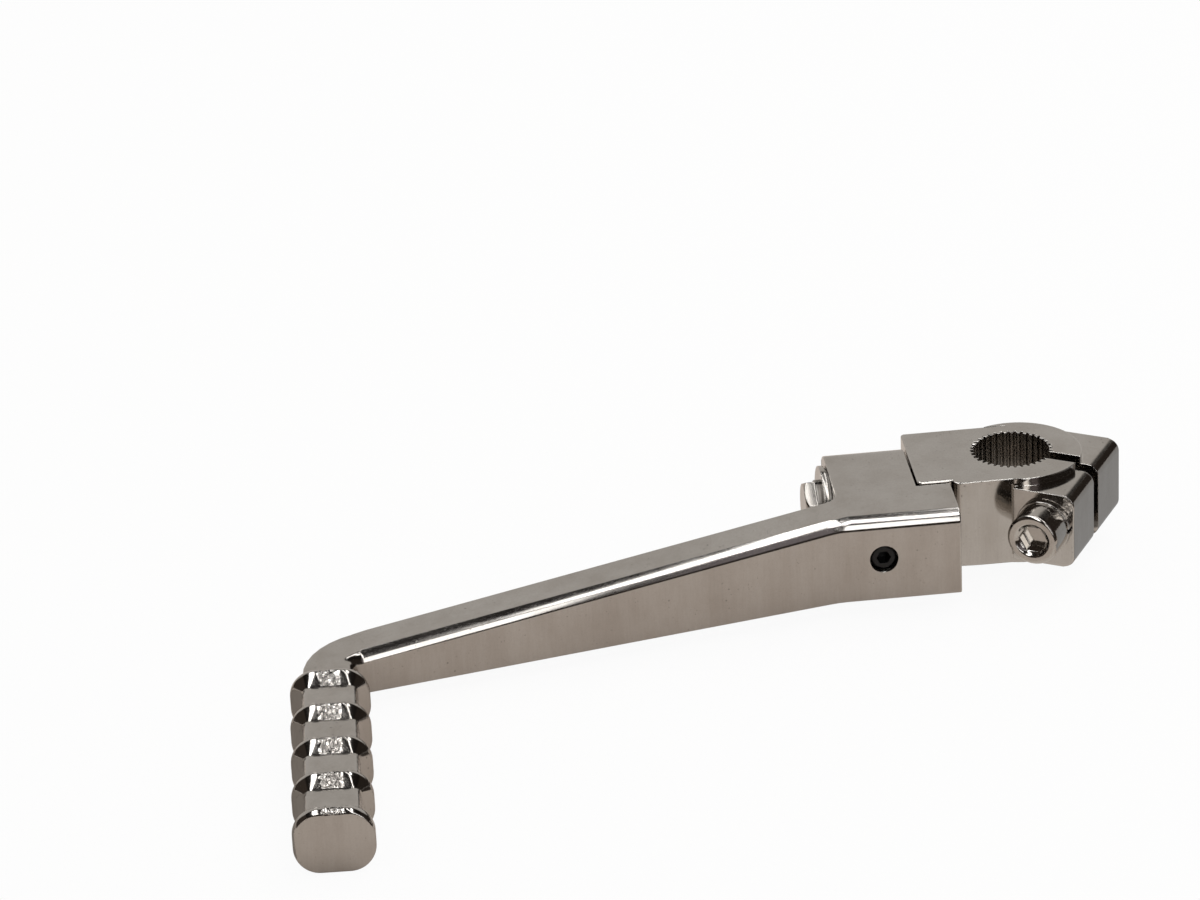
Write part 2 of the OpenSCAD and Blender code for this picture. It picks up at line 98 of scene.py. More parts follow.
class Field:
    """One output socket, with the arithmetic of shader maths."""

    def __init__(self, graph: "Graph", socket: bpy.types.NodeSocket) -> None:
        """Args: graph: where the socket's node is; socket: the output."""
        self.graph = graph
        self.socket = socket

    def _maths(self, operation: str, *values: Value) -> "Field":
        """Args: operation: name of the Math operation; values: its inputs. Returns: the result."""
        return self.graph.maths(operation, *values)

    def __add__(self, other: Value) -> "Field":
        """Args: other: what is added. Returns: the sum."""
        return self._maths("ADD", self, other)

    __radd__ = __add__

    def __sub__(self, other: Value) -> "Field":
        """Args: other: what is taken away. Returns: the difference."""
        return self._maths("SUBTRACT", self, other)

    def __rsub__(self, other: Value) -> "Field":
        """Args: other: what this is taken from. Returns: the difference."""
        return self._maths("SUBTRACT", other, self)

    def __mul__(self, other: Value) -> "Field":
        """Args: other: the factor. Returns: the product."""
        return self._maths("MULTIPLY", self, other)

    __rmul__ = __mul__

    def clamped(self) -> "Field":
        """Returns: the field limited to 0..1."""
        return self._maths("MAXIMUM", self._maths("MINIMUM", self, 1.0), 0.0)

    def ramp(self, low: float, high: float) -> "Field":
        """A soft step.

        Args:
            low: value that becomes 0.
            high: value that becomes 1, which may be the lower of the two.

        Returns:
            The stepped field.
        """
        found = self.graph.node(
            "ShaderNodeMapRange",
            {"interpolation_type": "SMOOTHSTEP"},
            {"Value": self, "From Min": low, "From Max": high, "To Min": 0.0, "To Max": 1.0},
        )
        return self.graph.field(found, "Result")


class Graph:
    """A material's or the world's node tree, with one way to add nodes."""

    EDGE_SAMPLES = 4
    EDGE_BAND: Pair = (0.004, 0.12)

    def __init__(self, tree: bpy.types.NodeTree) -> None:
        """Args: tree: the tree, emptied here."""
        self.tree = tree
        self.tree.nodes.clear()
        self._object_place: Optional[Field] = None

    def node(
        self,
        kind: str,
        settings: Optional[dict[str, object]] = None,
        inputs: Optional[dict[Union[str, int], object]] = None,
    ) -> bpy.types.Node:
        """Adds a node.

        Args:
            kind: Blender's name of the node type.
            settings: properties, which are set first because they can change the sockets.
            inputs: values or fields by socket name or number.

        Returns:
            The new node.
        """
        made = self.tree.nodes.new(kind)
        for name, value in (settings or {}).items():
            setattr(made, name, value)
        for key, value in (inputs or {}).items():
            socket = made.inputs[key]
            if isinstance(value, Field):
                self.tree.links.new(value.socket, socket)
            else:
                socket.default_value = value
        return made

    def field(self, made: bpy.types.Node, output: Union[str, int] = 0) -> Field:
        """Args: made: a node; output: socket name or number. Returns: that output as a field."""
        return Field(self, made.outputs[output])

    def maths(self, operation: str, *values: Value) -> Field:
        """Args: operation: name of the Math operation; values: its inputs. Returns: the result."""
        made = self.node("ShaderNodeMath", {"operation": operation}, dict(enumerate(values)))
        return self.field(made)

    def mix_colour(self, share: Value, first: object, second: object) -> Field:
        """Mixes two colours.

        Args:
            share: how much of the second, from 0 to 1.
            first: a colour or a field.
            second: a colour or a field.

        Returns:
            The mixed colour.
        """
        factor, colour_a, colour_b, result = 0, 6, 7, 2
        first, second = ((*v, 1.0) if isinstance(v, tuple) else v for v in (first, second))
        inputs = {factor: share, colour_a: first, colour_b: second}
        return self.field(self.node("ShaderNodeMix", {"data_type": "RGBA"}, inputs), result)

    def mix_vector(self, share: Value, first: Field, second: Field) -> Field:
        """Args: share: how much of the second; first, second: vectors. Returns: the mixed vector."""
        factor, vector_a, vector_b, result = 0, 4, 5, 1
        inputs = {factor: share, vector_a: first, vector_b: second}
        return self.field(self.node("ShaderNodeMix", {"data_type": "VECTOR"}, inputs), result)

    @property
    def place(self) -> Field:
        """Returns: the place on the piece, in metres, which moves with the piece."""
        if self._object_place is None:
            self._object_place = self.field(self.node("ShaderNodeTexCoord"), "Object")
        return self._object_place

    def scaled_place(self, scale: Triple, turn_z: float = 0.0) -> Field:
        """Args: scale: cells per metre along X, Y, Z; turn_z: turn first. Returns: the place."""
        made = self.node(
            "ShaderNodeMapping",
            {"vector_type": "POINT"},
            {"Vector": self.place, "Rotation": (0.0, 0.0, turn_z), "Scale": scale},
        )
        return self.field(made)

    def noise(
        self, scale: float, detail: float = 3.0, rough: float = 0.5, place: Optional[Field] = None
    ) -> Field:
        """Args: scale: cells per metre; detail, rough: octaves; place: other place. Returns: 0..1."""
        inputs = {"Vector": place or self.place, "Scale": scale, "Detail": detail, "Roughness": rough}
        return self.field(self.node("ShaderNodeTexNoise", None, inputs))

    def cells(self, scale: float) -> Field:
        """Args: scale: cells per metre. Returns: distance to the nearest cell's point."""
        inputs = {"Vector": self.place, "Scale": scale, "Randomness": 1.0}
        return self.field(self.node("ShaderNodeTexVoronoi", {"feature": "F1"}, inputs), "Distance")

    def attribute(self, name: str) -> Field:
        """Args: name: a mesh attribute. Returns: its value."""
        return self.field(self.node("ShaderNodeAttribute", {"attribute_name": name}), "Fac")

    def rolled_normal(self, width: float, samples: int) -> Field:
        """Args: width: radius at edges; samples: rays. Returns: the normal with its edges eased."""
        return self.field(self.node("ShaderNodeBevel", {"samples": samples}, {"Radius": width}))

    def plain_normal(self) -> Field:
        """Returns: the surface's own normal."""
        return self.field(self.node("ShaderNodeNewGeometry"), "Normal")

    def edge_wear(self, width: float) -> Field:
        """Args: width: reach from an edge. Returns: 1 at edges, 0 on open faces."""
        inputs = {0: self.rolled_normal(width, self.EDGE_SAMPLES), 1: self.plain_normal()}
        dot = self.node("ShaderNodeVectorMath", {"operation": "DOT_PRODUCT"}, inputs)
        return (1.0 - self.field(dot, "Value")).ramp(*self.EDGE_BAND)

    def bump(self, height: Field, distance: float, normal: Optional[Field] = None) -> Field:
        """Args: height: 0..1; distance: depth of 1; normal: of a bump below. Returns: normal."""
        inputs: dict[Union[str, int], object] = {"Height": height, "Distance": distance, "Strength": 1.0}
        if normal is not None:
            inputs["Normal"] = normal
        return self.field(self.node("ShaderNodeBump", None, inputs))

    def principled(self, base: Field, rough: Field, normal: Field, metallic: float = 1.0) -> Field:
        """Args: base: colour; rough: roughness; normal: normal; metallic: 0..1. Returns: shader."""
        inputs = {"Base Color": base, "Metallic": metallic, "Roughness": rough.clamped(), "Normal": normal}
        return self.field(self.node("ShaderNodeBsdfPrincipled", None, inputs))

    def finish(self, shader: Field, kind: str = "ShaderNodeOutputMaterial") -> None:
        """Ends the tree. Args: shader: the surface; kind: type of the output node."""
        self.node(kind, None, {"Surface": shader})


def new_material(name: str) -> tuple[bpy.types.Material, Graph]:
    """Args: name: the material's name. Returns: the material and its empty graph."""
    made = bpy.data.materials.new(name)
    made.use_nodes = True
    return made, Graph(made.node_tree)


# ---- Finishes ----------------------------------------------------------------------------------


@dataclass(frozen=True)
class Finish:
    """A material for one or more slots. Scales are in cells per metre."""

    name: str

    def shade(self, graph: Graph) -> Field:
        """Args: graph: an empty tree. Returns: the shader."""
        raise NotImplementedError

    def material(self) -> bpy.types.Material:
        """Returns: the material, made once."""
        name = f"finish_{self.name}"
        known = bpy.data.materials.get(name)
        if known is not None:
            return known
        made, graph = new_material(name)
        graph.finish(self.shade(graph))
        return made


@dataclass(frozen=True)
class Weights:
    """How much each pattern of a finish counts."""

    cloud: float = 0.0
    streak: float = 0.0
    fine: float = 0.0
    grain: float = 0.0
    brush: float = 0.0
    scratch: float = 0.0
    pit: float = 0.0
    speck: float = 0.0
    cast: float = 0.0


@dataclass(frozen=True)
class Plating(Finish):
    """Bright plating over a cast or turned surface."""

    colour: Triple = (0.56, 0.535, 0.505)
    stain: Triple = (0.43, 0.395, 0.36)
    pit_colour: Triple = (0.10, 0.085, 0.075)
    worn: Triple = (0.68, 0.66, 0.63)
    dim: Triple = (0.30, 0.28, 0.26)
    stain_share: float = 0.8
    worn_share: float = 0.5
    tone: Weights = Weights(cloud=0.55, streak=0.45, grain=0.10, brush=0.08, speck=0.6, cast=0.45)
    rough: float = 0.075
    haze: float = 0.06
    blur: Weights = Weights(grain=0.03, scratch=0.12, pit=0.25, cast=0.04)
    edge_polish: float = 0.05
    edge_width: float = 0.7 * MM
    pit_share: float = 0.5
    relief: Weights = Weights(cloud=0.5, fine=0.3, brush=0.06, grain=0.06, pit=0.8, scratch=0.14)
    casting: float = 0.009 * MM
    pock_depth: float = 0.11 * MM
    ease: float = 0.3 * MM
    ease_samples: int = 6
    cloud_scale: float = 55.0
    streak_scale: Triple = (170.0, 170.0, 28.0)
    fine_scale: float = 260.0
    grain_scale: float = 2600.0
    brush_scale: Triple = (2600.0, 2600.0, 190.0)
    scratch_scale: Triple = (5200.0, 190.0, 5200.0)
    scratch_turn: float = 0.7
    pit_scale: float = 620.0
    pit_gate_scale: float = 120.0
    speck_scale: float = 1700.0
    speck_gate_scale: float = 300.0
    cast_scale: float = 800.0
    pock_scale: float = 1300.0

    def pits(self, graph: Graph) -> Field:
        """Args: graph: the tree. Returns: small pits in patches."""
        gate = graph.noise(self.pit_gate_scale, 2.0).ramp(0.52, 0.68)
        return graph.cells(self.pit_scale).ramp(0.17, 0.05) * gate * self.pit_share

    def specks(self, graph: Graph) -> Field:
        """Args: graph: the tree. Returns: fine dark specks in patches."""
        gate = graph.noise(self.speck_gate_scale, 2.0).ramp(0.56, 0.70)
        return graph.cells(self.speck_scale).ramp(0.24, 0.10) * gate

    def scratches(self, graph: Graph) -> Field:
        """Args: graph: the tree. Returns: long thin scratches."""
        place = graph.scaled_place(self.scratch_scale, self.scratch_turn)
        return graph.noise(1.0, 2.0, 0.5, place).ramp(0.70, 0.76)

    def shade(self, graph: Graph) -> Field:
        """Args: graph: an empty tree. Returns: the shader."""
        tone, blur, relief = self.tone, self.blur, self.relief
        cloud = graph.noise(self.cloud_scale, 4.0, 0.6)
        streaks = graph.noise(1.0, 4.0, 0.6, graph.scaled_place(self.streak_scale))
        fine_cloud = graph.noise(self.fine_scale, 3.0, 0.55)
        grain = graph.noise(self.grain_scale, 2.0, 0.6)
        brushed = graph.noise(1.0, 3.0, 0.6, graph.scaled_place(self.brush_scale))
        scratch, pits, specks = self.scratches(graph), self.pits(graph), self.specks(graph)
        rough_cast_and_side_shade = graph.attribute("pitting_and_side_shade") * graph.noise(self.cast_scale, 2.0, 0.6).ramp(0.30, 0.50)
        pocks = graph.noise(self.pock_scale, 3.0, 0.6).ramp(0.42, 0.58)
        wear = graph.edge_wear(self.edge_width)

        stains = (cloud.ramp(0.32, 0.72) * tone.cloud + streaks.ramp(0.35, 0.7) * tone.streak).clamped()
        base = graph.mix_colour(stains * self.stain_share, self.colour, self.stain)
        dulled = grain.ramp(0.3, 0.7) * tone.grain + brushed.ramp(0.35, 0.65) * tone.brush
        base = graph.mix_colour(dulled, base, self.dim)
        base = graph.mix_colour(wear * self.worn_share, base, self.worn)
        # Pits, specks and the rough-cast share darken the colour; on the peg's sides the rough-cast share
        # is partly painted shade.
        dirt_and_side_shade = (pits + specks * tone.speck + rough_cast_and_side_shade * (1.0 - pocks) * tone.cast).clamped()
        base = graph.mix_colour(dirt_and_side_shade, base, self.pit_colour)

        rough = self.rough + cloud.ramp(0.3, 0.8) * self.haze + grain * blur.grain
        rough = rough + scratch * blur.scratch + pits * blur.pit + rough_cast_and_side_shade * blur.cast
        rough = rough - wear * self.edge_polish

        height = cloud * relief.cloud + fine_cloud * relief.fine + brushed * relief.brush
        height = height + grain * relief.grain - pits * relief.pit - scratch * relief.scratch
        eased = graph.rolled_normal(self.ease, self.ease_samples)
        # Where the casting is rough its relief is real geometry, which an eased normal would wash out.
        under = graph.mix_vector(rough_cast_and_side_shade, eased, graph.plain_normal())
        normal = graph.bump(height, self.casting, under)
        normal = graph.bump(pocks * rough_cast_and_side_shade, self.pock_depth, normal)
        return graph.principled(base, rough, normal)


@dataclass(frozen=True)
class DullSteel(Finish):
    """Oiled or bare steel, ground or drawn."""

    colour: Triple = (0.24, 0.225, 0.21)
    worn: Triple = (0.5, 0.48, 0.45)
    oil: Triple = (0.12, 0.105, 0.09)
    oil_share: float = 0.5
    worn_share: float = 0.8
    rough: float = 0.34
    haze: float = 0.12
    edge_polish: float = 0.1
    edge_width: float = 0.25 * MM
    relief: Weights = Weights(grain=0.6, cloud=0.4)
    depth: float = 0.02 * MM
    cloud_scale: float = 420.0
    grain_scale: float = 2600.0

    def shade(self, graph: Graph) -> Field:
        """Args: graph: an empty tree. Returns: the shader."""
        cloud = graph.noise(self.cloud_scale, 4.0, 0.6)
        grain = graph.noise(self.grain_scale, 3.0, 0.6)
        wear = graph.edge_wear(self.edge_width)
        base = graph.mix_colour(cloud.ramp(0.35, 0.7) * self.oil_share, self.colour, self.oil)
        base = graph.mix_colour(wear * self.worn_share, base, self.worn)
        rough = self.rough + cloud * self.haze - wear * self.edge_polish
        height = grain * self.relief.grain + cloud * self.relief.cloud
        return graph.principled(base, rough, graph.bump(height, self.depth))


@dataclass(frozen=True)
class BlackOxide(Finish):
    """Blackened steel with a film of oil, rubbed bright at the edges."""

    colour: Triple = (0.005, 0.005, 0.0055)
    rubbed: Triple = (0.05, 0.049, 0.047)
    rubbed_share: float = 0.6
    cloud_share: float = 0.1
    metallic: float = 0.25
    rough: float = 0.28
    haze: float = 0.15
    edge_width: float = 0.15 * MM
    depth: float = 0.015 * MM
    cloud_scale: float = 700.0

    def shade(self, graph: Graph) -> Field:
        """Args: graph: an empty tree. Returns: the shader."""
        cloud = graph.noise(self.cloud_scale, 3.0, 0.6)
        wear = graph.edge_wear(self.edge_width)
        share = wear * self.rubbed_share + cloud * self.cloud_share
        base = graph.mix_colour(share, self.colour, self.rubbed)
        rough = self.rough + cloud * self.haze
        return graph.principled(base, rough, graph.bump(cloud, self.depth), self.metallic)


FINISHES: dict[Slot, Finish] = {
    Slot.HUB: Plating("plated_hub"),
    Slot.LEVER: Plating("plated_lever"),
    Slot.BEARING: Plating("bearing_steel", colour=(0.66, 0.66, 0.67), rough=0.06, haze=0.03, pit_share=0.1),
    Slot.SPRING: DullSteel("spring_steel", colour=(0.34, 0.34, 0.35), rough=0.28),
    Slot.BLACK: BlackOxide("black_oxide"),
    Slot.DARK_WASHER: DullSteel("dark_washer"),
    Slot.WASHER: Plating("plated_washer", rough=0.11, pit_share=0.35, edge_width=0.3 * MM),
    Slot.BOLT: Plating(
        "plated_bolt", colour=(0.60, 0.575, 0.54), rough=0.08, pit_share=0.4, edge_width=0.35 * MM
    ),
}


# ---- Meshes ------------------------------------------------------------------------------------


def link(name: str, data: bpy.types.ID) -> bpy.types.Object:
    """Args: name: the object's name; data: its mesh or other data. Returns: it, in the scene."""
    made = bpy.data.objects.new(name, data)
    bpy.context.scene.collection.objects.link(made)
    return made


def loft(rings: Sequence[Sequence[Vector]], bm: bmesh.types.BMesh) -> None:
    """Joins equal rings of points with quads and closes both ends.

    Args:
        rings: rings with the same number of points, seen counter-clockwise from the last ring.
        bm: mesh to add to.
    """
    made = [[bm.verts.new(point) for point in ring] for ring in rings]
    count = len(made[0])
    for near, far in zip(made, made[1:]):
        for k in range(count):
            other = (k + 1) % count
            bm.faces.new((near[k], near[other], far[other], far[k]))
    bm.faces.new(list(reversed(made[0])))
    bm.faces.new(made[-1])
    bmesh.ops.recalc_face_normals(bm, faces=bm.faces)


def finish_piece(
    bm: bmesh.types.BMesh, name: str, slot: Slot, body: Body, pitting_and_side_shade: Roughness
) -> bpy.types.Object:
    """Turns a mesh into a piece with its finish, normals, slot and body.

    Args:
        bm: the mesh, freed here.
        name: the piece's name.
        slot: where its finish comes from.
        body: what it rides on.
        pitting_and_side_shade: how rough the casting is at a place with a normal, from 0 to 1, which on the
            peg's sides is partly painted shade.

    Returns:
        The piece.
    """
    mesh = bpy.data.meshes.new(name)
    bm.normal_update()
    layer = bm.verts.layers.float.new("pitting_and_side_shade")
    for vert in bm.verts:
        vert[layer] = pitting_and_side_shade(vert.co, vert.normal)
    for face in bm.faces:
        face.smooth = True
    for edge in bm.edges:
        edge.smooth = edge.calc_face_angle(0.0) < math.radians(SMOOTH_DEG)
    bm.to_mesh(mesh)
    bm.free()
    made = link(name, mesh)
    weighted = made.modifiers.new("weighted", "WEIGHTED_NORMAL")
    weighted.mode = "FACE_AREA"
    weighted.weight = NORMAL_WEIGHT
    weighted.keep_sharp = True
    mesh.materials.append(FINISHES[slot].material())
    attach(made, body.value)
    LOG.info("%s: %d faces, finish %s", name, len(mesh.polygons), slot.value)
    return made


@dataclass
class CadCopy:
    """A CAD node's mesh with its flat faces joined and its sharp edges rolled over."""

    node: str
    name: str
    slot: Slot
    body: Body
    roll: float = 0.25 * MM
    segments: int = 2
    sharp_deg: float = 32.0
    made: Optional[bpy.types.Object] = field(default=None, init=False)

    def welded(self) -> bmesh.types.BMesh:
        """Returns: the node's mesh with equal points made one."""
        bm = bmesh.new()
        bm.from_mesh(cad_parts[self.node].data)
        bmesh.ops.remove_doubles(bm, verts=bm.verts, dist=WELD)
        return bm

    def mesh(self) -> bmesh.types.BMesh:
        """Returns: the node's welded mesh, with flat faces as one face each."""
        return self.joined(self.welded())

    def joined(self, bm: bmesh.types.BMesh) -> bmesh.types.BMesh:
        """Args: bm: a mesh. Returns: it with flat faces joined and slivers closed."""
        bmesh.ops.dissolve_limit(
            bm,
            angle_limit=math.radians(FLAT_DEG),
            use_dissolve_boundaries=False,
            verts=bm.verts,
            edges=bm.edges,
        )
        return bm

    def keeps_sharp(self, place: Vector) -> bool:
        """Args: place: middle of an edge. Returns: whether it isn't rolled."""
        return False

    def pitting_and_side_shade(self, place: Vector, normal: Vector) -> float:
        """Args: place, normal: of a vertex. Returns: how rough the casting is there."""
        return 0.0

    def rolled(self, bm: bmesh.types.BMesh) -> None:
        """Rolls the sharp edges over. Args: bm: the mesh."""
        sharp = [
            e
            for e in bm.edges
            if len(e.link_faces) == 2
            and e.calc_face_angle(0.0) > math.radians(self.sharp_deg)
            and not self.keeps_sharp((e.verts[0].co + e.verts[1].co) / 2)
        ]
        bmesh.ops.bevel(
            bm,
            geom=sharp,
            offset=self.roll,
            segments=self.segments,
            profile=0.5,
            affect="EDGES",
            clamp_overlap=False,
            loop_slide=True,
        )

    def build(self) -> bpy.types.Object:
        """Returns: the piece, dressed and riding on its body."""
        bm = self.mesh()
        self.rolled(bm)
        self.made = finish_piece(bm, self.name, self.slot, self.body, self.pitting_and_side_shade)
        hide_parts(self.node)
        return self.made


# ---- Pieces ------------------------------------------------------------------------------------


@dataclass(frozen=True)
class PegSizes:
    """Sizes of the foot peg, as in the CAD model, in mm."""

    inner: Pair = (-133.7, -41.837)
    neck_width: float = 9.8
    neck_length: float = 8.2
    arm_end_height: float = 8.3
    lean_deg: float = 2.7
    width: float = 15.1
    height: float = 12.9
    axis_z: float = -5.95
    corner: float = 5.1
    groove_corner: float = 1.6
    groove_side: float = 1.3
    pitch: float = 12.8
    ridges: int = 5
    groove: float = 1.8
    crest: float = 1.4
    crest_drop: float = 0.12
    slope: float = 2.1
    start_length: float = 1.0
    start_sink: float = 0.4
    rim: float = 1.2
    rim_drop_share: float = 0.6


@dataclass
class FootPeg:
    """The ridged peg at the end of the lever, lofted finely from the CAD model's sizes, in mm."""

    sizes: PegSizes = PegSizes()
    corner_steps: int = 12
    flat_steps: int = 26
    step: float = 0.2
    ease_reach: float = 0.24
    ease_samples: tuple[float, ...] = (-1.0, -0.5, 0.0, 0.5, 1.0)
    rim_step_deg: int = 15
    overlap: float = 3.9
    inset: float = 0.003
    pit_depth: float = 0.13
    pit_size: float = 0.5
    pit_share: float = 0.45
    pit_octave: float = 2.3
    pit_octave_share: float = 0.6
    pit_lead: float = 0.3
    pit_lead_fade: float = 0.4
    pit_reach: float = 2.1
    pit_side_fade: float = 0.5
    cheek_facing: float = 0.75
    cheek_rough_and_shade: float = 0.28
    slope_facing: Pair = (0.35, 0.9)
    rough_reach: float = 2.2
    rough_side_fade: float = 0.6
    rough_upright_gain: float = 2.0

    @property
    def along(self) -> Vector:
        """Returns: the way the peg points."""
        lean = math.radians(self.sizes.lean_deg)
        return Vector((-math.sin(lean), -math.cos(lean), 0.0))

    @property
    def side(self) -> Vector:
        """Returns: the way across the peg, towards the hub."""
        lean = math.radians(self.sizes.lean_deg)
        return Vector((math.cos(lean), -math.sin(lean), 0.0))

    def place(self, distance: float, across: float = 0.0, up: float = 0.0) -> Vector:
        """Args: distance: from the neck's end; across, up: off the axis, mm. Returns: metres."""
        s = self.sizes
        corner = Vector((s.inner[0], s.inner[1], 0.0))
        middle = corner - self.side * s.neck_width / 2
        ground_place = middle + self.along * (s.neck_length + distance) + self.side * across
        return (ground_place + Vector((0, 0, s.axis_z + up))) * MM

    def corners(self) -> list[Pair]:
        """Returns: distance and depth below the crests at each corner of the profile."""
        s = self.sizes
        ridge = [
            (-s.crest / 2 - s.slope, s.groove),
            (-s.crest / 2, s.crest_drop),
            (-s.crest / 4, 0.0),
            (s.crest / 4, 0.0),
            (s.crest / 2, s.crest_drop),
            (s.crest / 2 + s.slope, s.groove),
        ]
        points = [(ridge[0][0] - s.start_length, s.height / 2 - s.arm_end_height / 2 + s.start_sink)]
        for i in range(s.ridges):
            last = i == s.ridges - 1
            points += [(i * s.pitch + d, depth) for d, depth in ridge if not last or d < s.crest / 2]
        return points

    def profile(self) -> list[Pair]:
        """Returns: the profile in fine steps, with its corners eased and its end rounded."""
        points = self.corners()
        end = points[-1][0]
        fine: list[Pair] = []
        d = points[0][0]
        while d < end:
            fine.append((d, self.depth_at(points, d)))
            d += self.step
        fine.append((end, 0.0))
        s = self.sizes
        for turn in range(self.rim_step_deg, 91, self.rim_step_deg):
            a = math.radians(turn)
            drop = s.rim_drop_share * s.rim * (1 - math.cos(a))
            fine.append((end + (s.rim - self.inset) * math.sin(a), drop))
        return fine

    def depth_at(self, points: Sequence[Pair], distance: float) -> float:
        """Args: points: the corners; distance: along the peg. Returns: the eased depth."""
        total = 0.0
        for share in self.ease_samples:
            total += self.straight(points, min(distance + share * self.ease_reach, points[-1][0]))
        return total / len(self.ease_samples)

    @staticmethod
    def straight(points: Sequence[Pair], distance: float) -> float:
        """Args: points: the corners; distance: along the peg. Returns: the depth between them."""
        for (d0, z0), (d1, z1) in zip(points, points[1:]):
            if distance <= d1:
                return z0 + (z1 - z0) * max(0.0, (distance - d0) / (d1 - d0))
        return points[-1][1]

    def ring(self, distance: float, depth: float) -> list[Vector]:
        """Args: distance: along the peg; depth: below the crests. Returns: a ring of points."""
        s = self.sizes
        half_w, half_h = s.width / 2 - depth * s.groove_side, s.height / 2 - depth
        r = max(s.groove_corner, s.corner - depth * (s.corner - s.groove_corner) / s.groove)
        made = []
        for quarter in range(4):
            sx = 1 if quarter in (0, 3) else -1
            sz = 1 if quarter < 2 else -1
            for j in range(self.corner_steps + 1):
                a = math.radians(90 * quarter + 90 * j / self.corner_steps)
                across = sx * (half_w - r) + r * math.cos(a)
                up = sz * (half_h - r) + r * math.sin(a)
                made.append(self.place(distance, across, up))
            if quarter == 0:
                for j in range(1, self.flat_steps):
                    across = (half_w - r) * (1 - 2 * j / self.flat_steps)
                    made.append(self.place(distance, across, half_h - self.pit(distance, across)))
        return made

    def pit(self, distance: float, across: float) -> float:
        """Args: distance: along the peg; across: off its axis, mm. Returns: depth of the pits."""
        s = self.sizes
        beyond = (distance + s.pitch / 2) % s.pitch - s.pitch / 2
        on_slope = -self.pit_lead < beyond < s.crest / 2 + s.slope
        if distance > (s.ridges - 0.5) * s.pitch or not on_slope:
            return 0.0
        side_share = (self.pit_reach - abs(across)) / self.pit_side_fade
        share = min(1.0, side_share, (beyond + self.pit_lead) / self.pit_lead_fade)
        place = Vector((distance, across, 0.0)) / self.pit_size
        rough = noise.noise(place) + self.pit_octave_share * noise.noise(place * self.pit_octave)
        return self.pit_depth * max(0.0, share) * max(0.0, min(1.0, self.pit_share + rough))

    def pitting_and_side_shade(self, place: Vector, normal: Vector) -> float:
        """Args: place, normal: of a vertex. Returns: how rough the casting is there, with painted shade on
        the peg's sides.
        """
        # The side faces get a fixed share of the rough-cast darkening: partly real rough casting, partly
        # painted shade on the sides.
        if abs(normal.dot(self.side)) > self.cheek_facing:
            return self.cheek_rough_and_shade
        low, high = self.slope_facing
        if not low < normal.dot(self.along) < high:
            return 0.0
        across = abs((place - self.place(0.0)).dot(self.side)) / MM
        middle_share = max(0.0, min(1.0, (self.rough_reach - across) / self.rough_side_fade))
        return middle_share * min(1.0, max(0.0, normal.z) * self.rough_upright_gain)

    def build(self) -> bpy.types.Object:
        """Returns: the peg."""
        bm = bmesh.new()
        loft([self.ring(d, depth) for d, depth in self.profile()], bm)
        return finish_piece(bm, "foot_peg", Slot.LEVER, Body.LEVER, self.pitting_and_side_shade)


@dataclass
class LeverArm(CadCopy):
    """The lever's boss, tab and arm, cut off where the finer peg takes over."""

    peg: FootPeg = field(default_factory=FootPeg)
    neck_short_mm: float = 0.1

    def mesh(self) -> bmesh.types.BMesh:
        """Returns: the CAD mesh up to the peg, with the neck carried on inside it."""
        bm = self.welded()
        bmesh.ops.bisect_plane(
            bm,
            geom=bm.verts[:] + bm.edges[:] + bm.faces[:],
            dist=CUT_SLACK,
            plane_co=self.peg.place(-self.peg.overlap),
            plane_no=self.peg.along,
            clear_outer=True,
        )
        rim = [e for e in bm.edges if e.is_boundary]
        grown = bmesh.ops.extrude_edge_only(bm, edges=rim)["geom"]
        moved = [v for v in grown if isinstance(v, bmesh.types.BMVert)]
        reach = self.peg.along * (self.peg.overlap - self.neck_short_mm) * MM
        bmesh.ops.translate(bm, verts=moved, vec=reach)
        bmesh.ops.holes_fill(bm, edges=[e for e in bm.edges if e.is_boundary], sides=0)
        bmesh.ops.recalc_face_normals(bm, faces=bm.faces)
        return self.joined(bm)


@dataclass
class HubCasting(CadCopy):
    """The hub, which is rolled at its block and ear ends and rough on the wall of its step."""

    ear_turn_deg: float = 30.0
    block_x: float = -6.5 * MM
    ear_start: float = 15.5 * MM
    half_slit: float = 1.7 * MM
    step_corner: Triple = (4 * MM, -6 * MM, 6.5 * MM)
    step_roughness: float = 0.5
    wall_rise: float = 0.3

    def keeps_sharp(self, place: Vector) -> bool:
        """Args: place: middle of an edge. Returns: whether spline, slit or boss is too near."""
        turn = math.radians(self.ear_turn_deg)
        reach = Vector((math.cos(turn), -math.sin(turn), 0.0))
        across = Vector((math.sin(turn), math.cos(turn), 0.0))
        ear_end = place.dot(reach) > self.ear_start and abs(place.dot(across)) > self.half_slit
        return not (place.x < self.block_x or ear_end)

    def pitting_and_side_shade(self, place: Vector, normal: Vector) -> float:
        """Args: place, normal: of a vertex. Returns: how rough the casting is there."""
        x, y, z = self.step_corner
        step_wall = abs(normal.z) < self.wall_rise and place.z > z and place.y < y and place.x > x
        return self.step_roughness if step_wall else 0.0


@dataclass
class DetentSpring(CadCopy):
    """The coil spring behind the ball."""

    joint: str = "ball_travel"
    fixed_end: Triple = (-0.0294, -0.0174, 0.0)
    length: float = 7.55 * MM
    travel: float = 0.4 * MM

    def rolled(self, bm: bmesh.types.BMesh) -> None:
        """Leaves the round wire as it is. Args: bm: the mesh."""

    def build(self) -> bpy.types.Object:
        """Returns: the spring, with a mesh of its own."""
        made = super().build()
        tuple(self.fixed_end)
        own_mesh(made)
        return made


